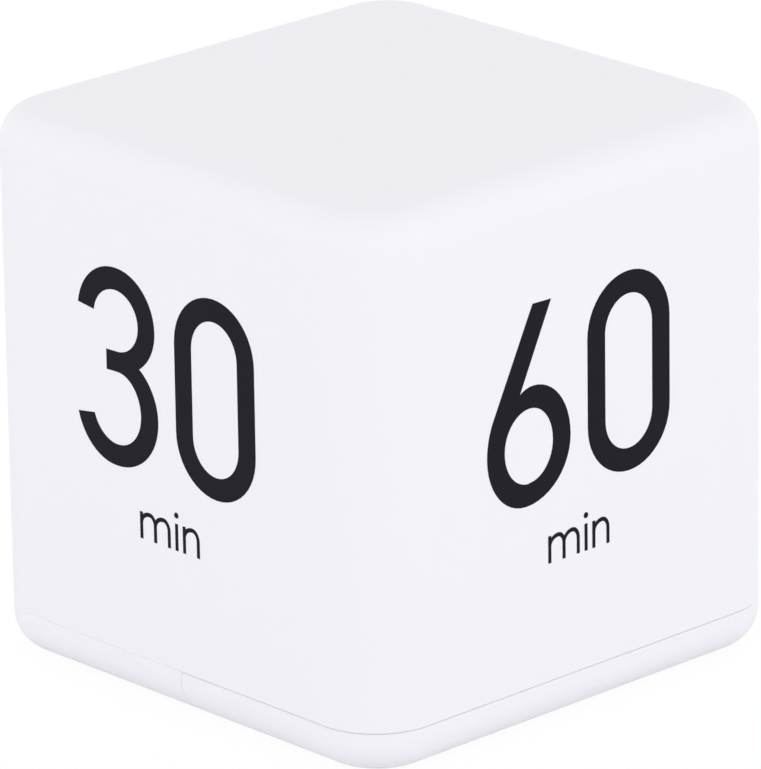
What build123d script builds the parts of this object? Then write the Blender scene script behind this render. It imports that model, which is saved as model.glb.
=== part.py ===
from build123d import *
import os

# Cube timer, in millimetres. +Z is up, the origin is the centre of the underside.
# The face with 30 looks along -Y and the face with 60 along +X.

# Battery cells, which set the size of the cube
cell_diameter = 10.5
cell_length = 44.5
cell_nub_diameter = 3.8
cell_nub_height = 0.8
cell_edge = 0.5

# Battery bay: the two cells lie side by side along Y and drop out downwards
cell_gap = 0.9
bay_side_gap = 0.45
bay_top_gap = 0.2
bay_floor_gap = 0.1
bay_wall = 1.2
bay_setback = 0.9
cradle_rib = 1.4
cradle_gap = 0.25
cradle_share = 0.67
cradle_depth = 3.4

# Battery contacts
contact_thickness = 0.4
contact_width = 8.4
contact_height = 8.6
contact_slack = 0.1
contact_rib = 0.9
tag_width = 2.4
tag_rise = 2.0
tag_gap = 0.3
button_height = 0.6
button_diameter = 4.2
spring_height = 3.3
spring_wire = 0.5
spring_radius = 3.1
spring_pitch = 1.4
spring_sides = 4

# Housing
wall = 2.0
end_room = 3.7
side_room = 2.4
corner_radius = 7.8
edge_radius = 4.2
seam_rise = 1.0
seam_break = 0.2
hollow_bevel_share = 0.59
boss_radius = 2.6
boss_lead_gap = 3.1
boss_web = 1.2
boss_web_drop = 34.0
side_web_drop = 20.0

# Base cover
floor_thickness = 2.0
step_wall = 1.6
lip_gap = 0.15
lip_thickness = 1.2
lip_height = 2.8
hook_width = 6.0
hook_spread = 12.0
hook_thickness = 1.2
hook_rise = 3.3
hook_barb = 0.9
ledge_depth = 0.8
ledge_thickness = 1.0
ledge_gap = 0.4

# Battery door: the half of the underside past the middle, with its rounded rim
door_edge_x = 1.0
door_gap = 0.05
door_thickness = 1.8
door_wall = 1.8
door_lift_gap = 0.3
door_seam_gap = 0.04
door_flange_gap = 0.5
rail_thickness = 0.8
rail_gap = 0.25
rail_bite = 0.55
tongue_width = 8.0
tongue_spread = 15.0
tongue_reach = 2.2
tongue_thickness = 0.7
tongue_gap = 0.2
detent_length = 4.0
detent_width = 1.0
detent_height = 0.2
detent_depth = 0.3
grip_count = 5
grip_pitch = 1.8
grip_width = 0.8
grip_length = 14.0
grip_depth = 0.35
grip_inset = 10.0

# Display, in the half of the underside beside the door
view_width = 15.0
view_length = 28.0
lens_border = 1.0
lens_thickness = 0.9
lens_sink = 0.2
lens_gap = 0.1
lens_corner = 1.6
panel_border = 1.5
panel_thickness = 1.9
glass_gap = 0.1
frame_wall = 0.9
frame_lip = 0.2
frame_top_gap = 0.2
strip_width = 1.6
strip_gap = 0.1
strip_inset = 0.4
strip_end = 1.0
display_step = 9.3
display_side_gap = 4.7

# Main board, which the switch holds over the floor
board_thickness = 1.2
board_edge_gap = 1.55
board_bay_gap = 3.5
board_corner = 4.0
board_end_margin = 3.0
post_radius = 2.0
post_pilot = 0.7
post_pilot_depth = 4.5
post_inset = 3.4
board_hole = 1.0
board_lip_room = 2.5

# Slide switch: off, silent and sound
switch_length = 11.2
switch_width = 5.6
switch_height = 3.6
switch_wall = 0.5
switch_travel = 4.0
lever_length = 1.8
lever_width = 1.5
lever_gap = 0.2
lever_foot_length = 3.2
lever_foot_width = 3.4
lever_foot_height = 1.0
knob_length = 4.2
knob_width = 2.6
knob_sink = 0.3
knob_gap = 0.25
knob_flange = 1.3
knob_flange_length = 1.9
knob_flange_thickness = 0.9
knob_collar = 0.8
knob_collar_height = 0.65
knob_socket_gap = 0.05
knob_socket_depth = 0.55
knob_ridge_depth = 0.25
knob_ridge_width = 0.5
knob_ridge_pitch = 1.2
knob_ridge_count = 3
recess_length = 12.6
recess_width = 6.4
recess_depth = 0.8

# Sounder under the board, over its slots in the floor
sounder_radius = 5.5
sounder_wall = 0.6
sounder_lift = 0.4
sounder_port = 1.2
sounder_gap = 1.0
disc_thickness = 0.25
disc_seat = 0.5
disc_lift = 1.8
sound_slot_count = 5
sound_slot_pitch = 1.7
sound_slot_width = 0.8
sound_slot_length = 6.0

# Tilt switches: one can for each numbered side, with a steel ball that rolls in it
can_radius = 2.5
can_wall = 0.3
can_length = 9.0
can_lift = 0.1
plug_length = 1.6
plug_lead = 0.25
plug_lead_spread = 1.0
plug_lead_out = 1.0
ball_radius = 1.9
ball_flat_share = 0.863
ball_bevel_share = 0.293
ball_gap = 0.3
can_row_gap = 3.0
can_screw_gap = 1.55
can_plug_gap = 0.5

# Other parts on the board
blob_radius = 4.5
blob_height = 1.3
blob_top_share = 0.5
crystal_radius = 1.05
crystal_length = 6.2
crystal_step = 7.6
capacitor_radius = 2.0
capacitor_height = 5.4
capacitor_step = 8.0
chip_part_length = 1.6
chip_part_width = 0.8
chip_part_height = 0.5
chip_part_pitch = 2.4
chip_part_count = 4
part_row_gap = 2.2

# Screws
cover_screw_radius = 1.0
cover_screw_length = 8.0
cover_screw_head_radius = 2.1
cover_screw_head_height = 1.4
cover_screw_clearance = 0.2
cover_screw_pilot_gap = 0.05
board_screw_radius = 0.65
board_screw_length = 4.0
board_screw_head_radius = 1.7
board_screw_head_height = 1.1
cross_width = 0.6
cross_depth = 0.6
cross_share = 0.75

# Leads from the cells to the board
lead_radius = 0.5
lead_sides = 6
lead_clearance = 0.1
lead_bend = 1.6
lead_start = 2.8
lead_drop_x = 1.6
lead_row = 5.0

# Overrun of cuts past the faces that they open, and the sides of hidden upright rods
over = 1.0
rod_sides = 8

# Values worked out from the sizes above
cell_radius = cell_diameter / 2
bay_inner_width = 2 * cell_diameter + cell_gap + 2 * bay_side_gap
bay_width = bay_inner_width + 2 * bay_wall
bay_half_inner = (cell_length + 2 * contact_thickness + button_height + spring_height) / 2
bay_half = bay_half_inner + bay_wall
cell_spread = (cell_diameter + cell_gap) / 2

lens_width = view_width + 2 * lens_border
lens_length = view_length + 2 * lens_border
panel_width = view_width + 2 * panel_border
panel_length = view_length + 2 * panel_border
frame_width = panel_width + 2 * glass_gap + 2 * frame_wall
frame_length = panel_length + 2 * glass_gap + 2 * frame_wall
display_x = door_edge_x - display_side_gap - frame_width / 2

# The board reaches from the sounder's row, past the display, to the posts beyond it
display_low_y = -bay_half + display_step + sounder_radius
display_y = display_low_y + frame_length / 2
post_high_y = display_y + frame_length / 2 + post_radius
board_half_length = max(post_high_y, bay_half - post_radius) + board_end_margin

# The cube takes the longest of what it holds
inner_half = max(
    bay_half + end_room,
    door_edge_x + bay_setback + bay_width + side_room,
    board_half_length + board_lip_room,
    frame_width / 2 - display_x + side_room + hook_thickness + board_edge_gap,
)
cube_half = inner_half + wall
cube_side = 2 * cube_half
bay_high_x = inner_half - side_room
bay_low_x = bay_high_x - bay_width
bay_x = (bay_low_x + bay_high_x) / 2

seam_height = edge_radius + seam_rise
lip_half = inner_half - lip_gap
lip_inner = lip_half - lip_thickness
lip_top = seam_height + lip_height
fixed_edge_x = door_edge_x - door_gap
step_x = fixed_edge_x - step_wall
door_inner = cube_half - door_wall
flange_half = door_inner - door_flange_gap
ring_half = flange_half - rail_bite - rail_gap
ring_inner = ring_half - lip_thickness
rim_top = seam_height - door_seam_gap
rail_low = rim_top - rail_thickness
flange_top = rail_low - rail_gap
flange_bottom = door_thickness + door_lift_gap
straight_half = cube_half - corner_radius

cell_z = flange_bottom + bay_floor_gap + cell_radius
bay_ceiling = cell_z + cell_radius + bay_top_gap
bay_top = bay_ceiling + bay_wall
lead_row_y = bay_half_inner - lead_start - lead_bend
cover_screw_spread = lead_row_y - lead_row - lead_radius - boss_lead_gap - boss_radius

knob_flange_low = floor_thickness + knob_gap
knob_flange_top = knob_flange_low + knob_flange_thickness
lever_bottom = knob_flange_top - knob_socket_depth
switch_low = knob_flange_top + knob_collar_height + lever_gap
board_height = switch_low + switch_height
board_low_x = -(lip_inner - board_edge_gap)
board_high_x = bay_low_x - board_bay_gap
board_x = (board_low_x + board_high_x) / 2
board_width = board_high_x - board_low_x
board_top = board_height + board_thickness
post_xs = (board_low_x + post_inset, board_high_x - post_inset)
post_y = board_half_length - board_end_margin
lens_seat = lens_sink + lens_thickness
panel_low = floor_thickness + frame_lip
panel_top = panel_low + panel_thickness
strip_x = panel_width / 2 - strip_inset - strip_width / 2
strip_length = panel_length - 2 * strip_end

sounder_x = board_low_x + sounder_radius + sounder_wall
sounder_y = display_low_y - sounder_gap / 2 - sounder_radius
switch_x = max(sounder_x + sounder_radius + sounder_gap + switch_length / 2, display_x + switch_length / 2)
switch_y = sounder_y
knob_rest_x = switch_x - switch_travel / 2

can_z = board_top + can_lift + can_radius
ball_travel = can_length - can_wall - plug_length - 2 * ball_radius - 2 * ball_gap
can_reach = can_length / 2 + plug_lead_out + plug_lead
can_row_y = post_y - board_screw_head_radius - can_screw_gap - can_reach
can_near_x = board_x + can_plug_gap / 2 + can_reach
can_far_x = board_x - can_plug_gap / 2 - can_reach
cross_row_y = can_row_y - can_length / 2 - can_row_gap - 2 * can_radius
chip_y = cross_row_y - can_radius - part_row_gap - blob_radius


def block(low, high):
    """Block between two corners."""
    size = [b - a for a, b in zip(low, high)]
    middle = [(a + b) / 2 for a, b in zip(low, high)]
    return Pos(*middle) * Box(*size)


def plate(width, length, low, high, corner, at):
    """Upright plate with rounded corners, from one height to another."""
    return extrude(Pos(*at, low) * RectangleRounded(width, length, corner), high - low)


def brick(at, half, low, high):
    """Block round a point of the plan, from one height to another."""
    return block((at[0] - half[0], at[1] - half[1], low), (at[0] + half[0], at[1] + half[1], high))


def rod(radius, low, high, at):
    """Upright round rod from one height to another."""
    return extrude(Pos(*at, low) * Circle(radius), high - low)


def flat_rod(radius, low, high, at):
    """Upright rod with flat sides, for posts and the shanks of screws."""
    return extrude(Pos(*at, low) * RegularPolygon(radius, rod_sides), high - low)


def cube_layer(half, low, high):
    """Layer of the cube's plan, drawn in or out to a half width, with its corners following."""
    corner = corner_radius - (cube_half - half)
    return plate(2 * half, 2 * half, low, high, corner, (0, 0))


def past(x, low, high):
    """Everything on the +X side of a plane, between two heights."""
    return block((x, -2 * cube_half, low), (2 * cube_half, 2 * cube_half, high))


def short_of(x, low, high):
    """Everything on the -X side of a plane, between two heights."""
    return block((-2 * cube_half, -2 * cube_half, low), (x, 2 * cube_half, high))


def foot_form(top):
    """Outer form of the underside up to a height, with its lower edge rounded all round."""
    form = cube_layer(cube_half, 0, top)
    form = chamfer(form.faces().sort_by(Axis.Z)[-1].edges(), seam_break)
    return fillet(form.faces().sort_by(Axis.Z)[0].edges(), edge_radius)


def housing_shell():
    """Five-sided moulded box with the bosses and ledges that the base cover fastens to."""
    body = cube_layer(cube_half, seam_height, cube_side)
    body = fillet(body.faces().sort_by(Axis.Z)[-1].edges(), edge_radius)
    body = chamfer(body.faces().sort_by(Axis.Z)[0].edges(), seam_break)
    hollow = cube_layer(inner_half, seam_height - over, cube_side - wall)
    bevel = hollow_bevel_share * (edge_radius - wall)
    hollow = chamfer(hollow.faces().sort_by(Axis.Z)[-1].edges(), bevel)
    shell = body - hollow
    ceiling = cube_side - wall
    roof = ceiling + wall / 4
    half_web = boss_web / 2
    for side in (-1, 1):
        y = side * cover_screw_spread
        shell += rod(boss_radius, bay_top, roof, (bay_x, y))
        shell += block(
            (bay_x, y - half_web, ceiling - side_web_drop), (inner_half + wall / 4, y + half_web, roof)
        )
    shell += block(
        (bay_x - half_web, -cover_screw_spread, ceiling - boss_web_drop),
        (bay_x + half_web, cover_screw_spread, roof),
    )
    for side in (-1, 1):
        at = (bay_x, side * cover_screw_spread)
        pilot = cover_screw_radius + cover_screw_pilot_gap
        shell -= rod(pilot, bay_top - over, bay_top + cover_screw_length, at)
        y = side * hook_spread
        low = lip_top + ledge_gap
        ledge = block(
            (-inner_half - wall / 2, y - hook_width, low),
            (-inner_half + ledge_depth, y + hook_width, low + ledge_thickness),
        )
        top_edge = ledge.edges().filter_by(Axis.Y).sort_by(Axis.X)[-2:].sort_by(Axis.Z)[0]
        shell += chamfer(top_edge, ledge_depth / 2)
    return shell


def cover_tray():
    """Outer half of the base cover: floor, rounded rim and the lip that enters the shell."""
    tray = foot_form(seam_height) & short_of(fixed_edge_x, -over, seam_height + over)
    tray -= cube_layer(lip_inner, floor_thickness, seam_height + over) & short_of(
        step_x, 0, seam_height + 2 * over
    )
    lip = cube_layer(lip_half, seam_height, lip_top) - cube_layer(lip_inner, 0, lip_top + over)
    return tray + (lip & short_of(fixed_edge_x, 0, lip_top + over))


def cover_deck():
    """Inner half of the base cover: the deck over the door, its ring and the battery bay."""
    deck = cube_layer(flange_half, flange_bottom, flange_top) & past(step_x, 0, lip_top)
    ring = cube_layer(ring_half, flange_bottom, lip_top) - cube_layer(ring_inner, 0, lip_top + over)
    deck += ring & past(step_x, 0, lip_top + over)
    deck += block((bay_low_x, -bay_half, flange_bottom), (bay_high_x, bay_half, bay_top))
    deck -= block(
        (bay_low_x + bay_wall, -bay_half_inner, 0), (bay_high_x - bay_wall, bay_half_inner, bay_ceiling)
    )
    rib_y = cradle_share * bay_half_inner
    for side in (-1, 1):
        rib = block(
            (bay_low_x + bay_wall / 2, side * rib_y - cradle_rib / 2, bay_ceiling - cradle_depth),
            (bay_high_x - bay_wall / 2, side * rib_y + cradle_rib / 2, bay_ceiling + bay_wall / 2),
        )
        for cell in (-1, 1):
            rib -= lying_rod(cell_radius + cradle_gap, bay_x + cell * cell_spread, -bay_half, bay_half)
        deck += rib
        deck -= rod(
            cover_screw_radius + cover_screw_clearance,
            bay_ceiling - over,
            bay_top + over,
            (bay_x, side * cover_screw_spread),
        )
        deck -= detent(side, flange_bottom - over, flange_bottom + detent_depth, door_gap)
        for cell in (-1, 1):
            for edge in (-1, 1):
                deck += contact_guide(bay_x + cell * cell_spread, side, edge)
    for cell in (-1, 1):
        x = bay_x + cell * cell_spread
        slot = tag_width / 2 + tag_gap
        high_y = bay_half_inner
        deck -= block(
            (x - slot, high_y - contact_thickness - tag_gap, bay_ceiling - over),
            (x + slot, high_y, bay_top + over),
        )
    return deck


def lying_rod(radius, x, low_y, high_y):
    """Round rod that lies along Y at the height of the cells."""
    return Pos(x, (low_y + high_y) / 2, cell_z) * Rot(X=90) * Cylinder(radius, high_y - low_y)


def contact_guide(x, end, edge):
    """Upright rib that keeps a contact against the end wall of the bay."""
    near = contact_width / 2 - contact_rib / 2
    xs = sorted((x + edge * near, x + edge * (near + contact_rib)))
    inner = bay_half_inner - contact_thickness - contact_slack
    ys = sorted((end * inner, end * (inner - contact_rib / 2)))
    top = bay_ceiling + bay_wall / 2
    return block((xs[0], ys[0], cell_z + cell_radius / 2), (xs[1], ys[1], top))


def detent(side, low, high, room):
    """Click ridge on the door, or with some room added, its notch in the deck."""
    y = side * (bay_half + ring_half) / 2
    half_x = detent_width / 2 + room
    half_y = min(detent_length, ring_half - bay_half) / 2
    return block((bay_x - half_x, y - half_y, low), (bay_x + half_x, y + half_y, high))


def cover_posts():
    """Eight-sided posts that carry the main board, with the pilot holes of its screws."""
    posts = []
    for x in post_xs:
        for side in (-1, 1):
            at = (x, side * post_y)
            post = flat_rod(post_radius, floor_thickness / 2, board_height, at)
            posts.append(post - rod(post_pilot, board_height - post_pilot_depth, board_height + over, at))
    return posts


def cover_hook(side):
    """Spring hook that catches over a ledge of the shell."""
    y = side * hook_spread
    low_x = -(lip_inner + lip_gap)
    barb_low = lip_top + 2 * ledge_gap + ledge_thickness
    top = lip_top + hook_rise
    profile = [
        (low_x, floor_thickness / 2),
        (low_x, barb_low),
        (low_x - hook_barb, barb_low),
        (low_x, top),
        (low_x + hook_thickness, top),
        (low_x + hook_thickness, floor_thickness / 2),
    ]
    outline = make_face(Plane.XZ * Polyline(*profile, close=True))
    return Pos(0, y, 0) * extrude(outline, hook_width / 2, both=True)


def base_cover():
    """Cover that closes the shell: display tray on one side, battery bay on the other."""
    cover = cover_tray() + cover_deck()
    for post in cover_posts():
        cover += post
    for side in (-1, 1):
        cover += cover_hook(side)
        pocket = tongue_width / 2 + tongue_gap
        pocket_x = door_edge_x - tongue_reach - tongue_gap
        pocket_z = door_thickness - tongue_thickness - tongue_gap
        y = side * tongue_spread
        cover -= block((pocket_x, y - pocket, pocket_z), (fixed_edge_x + over, y + pocket, flange_bottom))
    at = (display_x, display_y)
    cover -= plate(
        lens_width + 2 * lens_gap, lens_length + 2 * lens_gap, -over, lens_seat, lens_corner + lens_gap, at
    )
    cover -= plate(view_width, view_length, 0, floor_thickness + over, lens_corner, at)
    at = (switch_x, switch_y)
    recess = extrude(Pos(*at, -over) * SlotOverall(recess_length, recess_width), over + recess_depth)
    cover -= recess
    slot = ((knob_length + switch_travel) / 2 + knob_gap, knob_width / 2 + knob_gap)
    cover -= brick(at, slot, 0, floor_thickness + over)
    for step in range(sound_slot_count):
        spot = (sounder_x + (step - (sound_slot_count - 1) / 2) * sound_slot_pitch, sounder_y)
        half = (sound_slot_width / 2, sound_slot_length / 2)
        cover -= brick(spot, half, -over, floor_thickness + over)
    return cover


def battery_door():
    """Half of the underside with its rounded rim, on rails that let it slide off along +X."""
    door = foot_form(rim_top) & past(door_edge_x, -over, seam_height)
    door -= cube_layer(door_inner, door_thickness, seam_height + over)
    for side in (-1, 1):
        ys = sorted((side * (ring_half + rail_gap), side * (door_inner + door_wall / 2)))
        door += block((door_edge_x, ys[0], rail_low), (straight_half, ys[1], rim_top))
        y = side * tongue_spread
        door += block(
            (door_edge_x - tongue_reach, y - tongue_width / 2, door_thickness - tongue_thickness),
            (door_edge_x + tongue_reach, y + tongue_width / 2, door_thickness),
        )
        door += detent(side, door_thickness / 2, door_thickness + detent_height, 0)
    door += block(
        (ring_half + rail_gap, -straight_half, rail_low), (door_inner + door_wall / 2, straight_half, rim_top)
    )
    for step in range(grip_count):
        x = cube_half - grip_inset - step * grip_pitch
        door -= brick((x, 0), (grip_width / 2, grip_length / 2), -over, grip_depth)
    return door


def display_window():
    """Clear lens set into the underside over the display."""
    lens = plate(lens_width, lens_length, lens_sink, lens_seat, lens_corner, (display_x, display_y))
    return chamfer(lens.faces().sort_by(Axis.Z)[0].edges(), lens_thickness / 4)


def lcd_panel():
    """Two glass sheets, the upper one wider, so that its contact edges stand out."""
    at = (display_x, display_y)
    sheet = panel_low + panel_thickness / 2
    panel = brick(at, (panel_width / 2 - strip_width, panel_length / 2), panel_low, sheet)
    return panel + brick(at, (panel_width / 2, panel_length / 2), sheet, panel_top)


def lcd_frame():
    """Frame that holds the panel to the floor and the two contact strips to the board."""
    at = (display_x, display_y)
    frame = plate(frame_width, frame_length, floor_thickness, board_height, frame_wall, at)
    room = (panel_width / 2 + glass_gap, panel_length / 2 + glass_gap)
    frame -= brick(at, room, panel_low, panel_top + frame_top_gap)
    frame -= brick(at, (view_width / 2, view_length / 2), 0, panel_low + over)
    slot = (strip_width / 2 + strip_gap, strip_length / 2 + strip_gap)
    for side in (-1, 1):
        frame -= brick((at[0] + side * strip_x, at[1]), slot, panel_top, board_top)
    core = (strip_x - strip_width / 2 - strip_gap - frame_wall, slot[1])
    return frame - brick(at, core, panel_top, board_top)


def connector_strip(side):
    """Elastic strip that joins the panel's contacts to the board."""
    at = (display_x + side * strip_x, display_y)
    return brick(at, (strip_width / 2, strip_length / 2), panel_top, board_height)


def main_board():
    """Circuit board on its four posts."""
    board = plate(board_width, 2 * board_half_length, board_height, board_top, board_corner, (board_x, 0))
    for x in post_xs:
        for side in (-1, 1):
            board -= rod(board_hole, board_height - over, board_top + over, (x, side * post_y))
    return board


def switch_body():
    """Frame of the slide switch, hollow round its lever."""
    at = (switch_x, switch_y)
    body = brick(at, (switch_length / 2, switch_width / 2), switch_low, board_height)
    body = fillet(body.edges().filter_by(Axis.Z), switch_wall)
    room = (switch_length / 2 - switch_wall, switch_width / 2 - switch_wall)
    body -= brick(at, room, switch_low + switch_wall, board_height - switch_wall)
    way = ((lever_length + switch_travel) / 2 + lever_gap, lever_width / 2 + lever_gap)
    return body - brick(at, way, switch_low - over, switch_low + over)


def switch_lever():
    """Lever of the switch, with its foot inside the frame."""
    at = (knob_rest_x, switch_y)
    foot_low = switch_low + switch_wall + lever_gap
    foot = (lever_foot_length / 2, lever_foot_width / 2)
    lever = brick(at, foot, foot_low, foot_low + lever_foot_height)
    stem = (lever_length / 2, lever_width / 2)
    return lever + brick(at, stem, lever_bottom, foot_low + lever_foot_height / 2)


def switch_knob():
    """Finger knob in the slot of the floor, pushed on to the lever."""
    at = (knob_rest_x, switch_y)
    half = (knob_length / 2, knob_width / 2)
    knob = brick(at, half, knob_sink, knob_flange_top)
    knob = fillet(knob.edges().filter_by(Axis.Z), knob_gap)
    flange = (half[0] + knob_flange_length, half[1] + knob_flange)
    knob += brick(at, flange, knob_flange_low, knob_flange_top)
    collar = (lever_length / 2 + knob_collar, lever_width / 2 + knob_collar)
    collar_top = knob_flange_top + knob_collar_height
    knob += brick(at, collar, knob_flange_low, collar_top)
    socket = (lever_length / 2 + knob_socket_gap, lever_width / 2 + knob_socket_gap)
    knob -= brick(at, socket, lever_bottom, collar_top + over)
    for step in range(knob_ridge_count):
        spot = (at[0] + (step - (knob_ridge_count - 1) / 2) * knob_ridge_pitch, at[1])
        knob -= brick(spot, (knob_ridge_width / 2, knob_width), 0, knob_sink + knob_ridge_depth)
    return knob


def sounder_case():
    """Cup of the sounder, hung from the board, with its port towards the floor."""
    at = (sounder_x, sounder_y)
    low = floor_thickness + sounder_lift
    case = rod(sounder_radius, low, board_height, at)
    seat = low + disc_lift
    case -= rod(sounder_radius - sounder_wall - disc_seat, low + sounder_wall, seat, at)
    case -= rod(sounder_radius - sounder_wall, seat, board_height - sounder_wall, at)
    return case - rod(sounder_port, low - over, low + over, at)


def sounder_disc():
    """Thin brass disc that sounds, seated on the ledge of its cup."""
    seat = floor_thickness + sounder_lift + disc_lift
    radius = sounder_radius - sounder_wall - lever_gap / 2
    return rod(radius, seat, seat + disc_thickness, (sounder_x, sounder_y))


def can_frame(number):
    """Place of a tilt switch, whose ball rolls along +X of this frame."""
    spots = (
        (can_near_x, can_row_y, 90),
        (can_far_x, can_row_y, -90),
        (can_near_x, cross_row_y, 0),
        (can_far_x, cross_row_y, 180),
    )
    x, y, turn = spots[number - 1]
    return Pos(x, y, can_z) * Rot(Z=turn)


def tilt_can(number):
    """Metal can, closed at the end that its ball rolls to."""
    can = Rot(Y=90) * Cylinder(can_radius, can_length)
    hollow = Pos(-can_wall / 2, 0, 0) * Rot(Y=90) * Cylinder(can_radius - can_wall, can_length - can_wall)
    return can_frame(number) * (can - hollow)


def tilt_plug(number):
    """Plug in the can's open end, with two leads bent down to the board."""
    low_x = -can_length / 2
    plug = Pos(low_x + plug_length / 2, 0, 0) * Rot(Y=90) * Cylinder(can_radius - can_wall, plug_length)
    out_x = low_x - plug_lead_out
    for side in (-1, 1):
        y = side * plug_lead_spread
        plug += block((out_x, y - plug_lead, -plug_lead), (low_x + plug_length / 2, y + plug_lead, plug_lead))
        plug += brick((out_x, y), (plug_lead, plug_lead), board_top - can_z, plug_lead)
    return can_frame(number) * plug


def tilt_ball(number):
    """Steel ball with even flats, at rest beside the plug."""
    x = -can_length / 2 + plug_length + ball_gap + ball_radius
    across = 2 * ball_flat_share * ball_radius
    ball = Box(across, across, across)
    ball = chamfer(ball.edges(), ball_bevel_share * across)
    return can_frame(number) * Pos(x, 0, 0) * ball


def timer_chip():
    """Timer chip under its low blob of black resin."""
    blob = Cone(blob_radius, blob_top_share * blob_radius, blob_height)
    return Pos(board_x, chip_y, board_top + blob_height / 2) * blob


def quartz_crystal():
    """Crystal in its small can, lying on the board."""
    x = board_x - crystal_step
    return Pos(x, chip_y, board_top + crystal_radius) * Rot(X=90) * Cylinder(crystal_radius, crystal_length)


def board_capacitor():
    """Round capacitor that stands on the board."""
    at = (board_x + capacitor_step, chip_y)
    body = rod(capacitor_radius, board_top, board_top + capacitor_height, at)
    return chamfer(body.faces().sort_by(Axis.Z)[-1].edges(), capacitor_radius / 8)


def chip_resistors():
    """Row of small flat parts beside the blob."""
    y = chip_y - blob_radius - part_row_gap
    half = (chip_part_width / 2, chip_part_length / 2)
    row = []
    for step in range(chip_part_count):
        x = board_x + (step - (chip_part_count - 1) / 2) * chip_part_pitch
        row.append(brick((x, y), half, board_top, board_top + chip_part_height))
    return Compound(row)


def battery_cell(number):
    """Dry cell with its raised positive end, which the two cells have at opposite ends."""
    side = 1 if number == 1 else -1
    x = bay_x - side * cell_spread
    positive = bay_half_inner - contact_thickness - button_height
    shoulder = positive - cell_nub_height
    body = lying_rod(cell_radius, x, positive - cell_length, shoulder)
    body = chamfer(body.edges().filter_by(GeomType.CIRCLE).sort_by(Axis.Y)[-1], cell_edge)
    body += lying_rod(cell_nub_diameter / 2, x, shoulder - cell_nub_height, positive)
    return body if side > 0 else mirrored_end(body)


def mirrored_end(solid):
    """The same piece turned end for end along Y."""
    return mirror(solid, Plane.XZ)


def contact_plate(x, half_width, tag):
    """Sheet contact against the bay's +Y end wall, with or without a tag through the ceiling."""
    far = bay_half_inner
    near = far - contact_thickness
    low = cell_z - contact_height / 2
    sheet = block((x - half_width, near, low), (x + half_width, far, cell_z + contact_height / 2))
    if tag:
        half_tag = tag_width / 2
        sheet += block((x - half_tag, near, cell_z), (x + half_tag, far, bay_top + tag_rise))
    return sheet


def contact_button(x):
    """Raised spot that meets a cell's positive end."""
    near = bay_half_inner - contact_thickness - button_height
    return lying_rod(button_diameter / 2, x, near, bay_half_inner - contact_thickness / 2)


def contact_spring(x):
    """Coil that presses on a cell's negative end."""
    base_y = bay_half_inner - contact_thickness
    turns_height = spring_height - spring_wire
    coil = Helix(spring_pitch, turns_height, spring_radius, center=(0, 0, 0), direction=(0, -1, 0))
    coil = Pos(x, base_y - spring_wire / 2 + contact_thickness / 8, cell_z) * coil
    start = Plane(origin=coil @ 0, z_dir=coil % 0)
    return sweep(start * RegularPolygon(spring_wire / 2, spring_sides), path=coil, is_frenet=True)


def button_contact():
    """Contact for the positive end of the first cell."""
    x = bay_x - cell_spread
    return contact_plate(x, contact_width / 2, True) + contact_button(x)


def spring_contact():
    """Contact for the negative end of the second cell."""
    x = bay_x + cell_spread
    return contact_plate(x, contact_width / 2, True) + contact_spring(x)


def link_contact():
    """Contact that joins the two cells in series at the far end of the bay."""
    spring_x = bay_x - cell_spread
    button_x = bay_x + cell_spread
    link = contact_plate(bay_x, cell_spread + contact_width / 2, False)
    link += contact_button(button_x)
    link += contact_spring(spring_x)
    return mirrored_end(link)


def cross_cut(radius, low, high, at):
    """Cross-shaped drive recess of a screw head."""
    arm = cross_share * radius
    return brick(at, (arm, cross_width / 2), low, high) + brick(at, (cross_width / 2, arm), low, high)


def cover_screws():
    """Two screws through the bay's ceiling into the bosses of the shell."""
    screws = []
    for side in (-1, 1):
        at = (bay_x, side * cover_screw_spread)
        head_low = bay_ceiling - cover_screw_head_height
        screw = rod(cover_screw_head_radius, head_low, bay_ceiling, at)
        screw += flat_rod(cover_screw_radius, head_low, bay_ceiling + cover_screw_length, at)
        screws.append(screw - cross_cut(cover_screw_head_radius, head_low - over, head_low + cross_depth, at))
    return Compound(screws)


def board_screws():
    """Four screws that hold the board to its posts."""
    screws = []
    head_top = board_top + board_screw_head_height
    for x in post_xs:
        for side in (-1, 1):
            at = (x, side * post_y)
            screw = rod(board_screw_head_radius, board_top, head_top, at)
            screw += flat_rod(board_screw_radius, board_top - board_screw_length, board_top, at)
            drive = cross_cut(board_screw_head_radius, head_top - cross_depth, head_top + over, at)
            screws.append(screw - drive)
    return Compound(screws)


def lead(x, row):
    """Insulated wire from a contact's tag, over the bay and down to the board."""
    z = bay_top + lead_radius + lead_clearance
    start_y = bay_half_inner - contact_thickness - lead_clearance
    turn_y = row
    end_x = board_high_x - lead_drop_x
    path = FilletPolyline(
        (x, start_y, z),
        (x, turn_y, z),
        (end_x, turn_y, z),
        (end_x, turn_y, board_top),
        radius=lead_bend,
    )
    start = Plane(origin=path @ 0, z_dir=path % 0)
    return sweep(start * RegularPolygon(lead_radius, lead_sides), path=path)


def lead_positive():
    """Lead from the button contact."""
    return lead(bay_x - cell_spread, lead_row_y)


def lead_negative():
    """Lead from the spring contact."""
    return lead(bay_x + cell_spread, lead_row_y - lead_row)


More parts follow.
